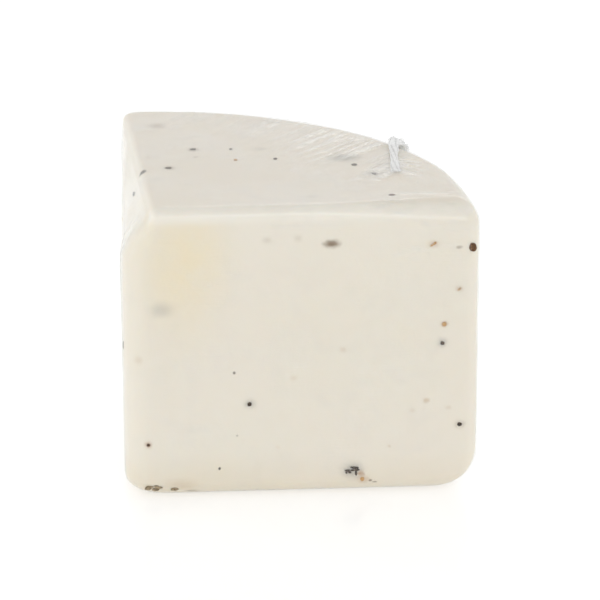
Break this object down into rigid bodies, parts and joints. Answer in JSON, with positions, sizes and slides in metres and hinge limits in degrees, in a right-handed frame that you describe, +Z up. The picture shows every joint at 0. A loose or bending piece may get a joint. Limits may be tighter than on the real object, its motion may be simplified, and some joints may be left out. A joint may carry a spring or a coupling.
{
  "type": "cheese wedge",
  "caption": "Quarter wedge of a small ivory semi-hard cheese wheel with cracked pepper in it, wrapped in clear film whose twisted end lies on the top",
  "frame": {"origin": "centre of the wedge's box on the plane that it stands on, under the film", "axes": "+Z up; the front cut faces -Y with its thin end at -X; the side cut runs back along +Y on the -X side; the rind is towards +X and +Y"},
  "size_m": [0.0878, 0.0808, 0.0782],
  "materials": {
    "cheese": "ivory semi-hard cheese, close and smooth, faintly waxy, a little warmer towards the edges",
    "film": "clear cling film, glossy, with fine creases that run to the twist",
    "pepper_skin": "cracked black peppercorn, dark wrinkled skin, dull",
    "pepper_heart": "cracked peppercorn showing its tan to orange-brown inside, dull"
  },
  "bodies": {
    "root": {"cheese_wedge": "cheese", "film_wrap": "film", "film_twist": "film", "pepper_front_01": "pepper_skin", "pepper_front_02": "pepper_heart", "pepper_front_03": "pepper_skin", "pepper_front_04": "pepper_heart", "pepper_front_05": "pepper_heart", "pepper_front_06": "pepper_heart", "pepper_front_07": "pepper_skin", "pepper_front_08": "pepper_skin", "pepper_front_09": "pepper_skin", "pepper_front_10": "pepper_skin", "pepper_front_11": "pepper_skin", "pepper_front_12": "pepper_skin", "pepper_top_01": "pepper_skin", "pepper_top_02": "pepper_skin", "pepper_top_03": "pepper_skin", "pepper_top_04": "pepper_heart", "pepper_top_05": "pepper_skin", "pepper_top_06": "pepper_skin", "pepper_top_07": "pepper_skin", "pepper_top_08": "pepper_skin", "pepper_side_01": "pepper_skin", "pepper_side_02": "pepper_skin", "pepper_side_03": "pepper_heart", "pepper_side_04": "pepper_skin", "pepper_side_05": "pepper_skin", "pepper_rind_01": "pepper_skin", "pepper_rind_02": "pepper_skin", "pepper_rind_03": "pepper_heart"}
  },
  "joints": []
}
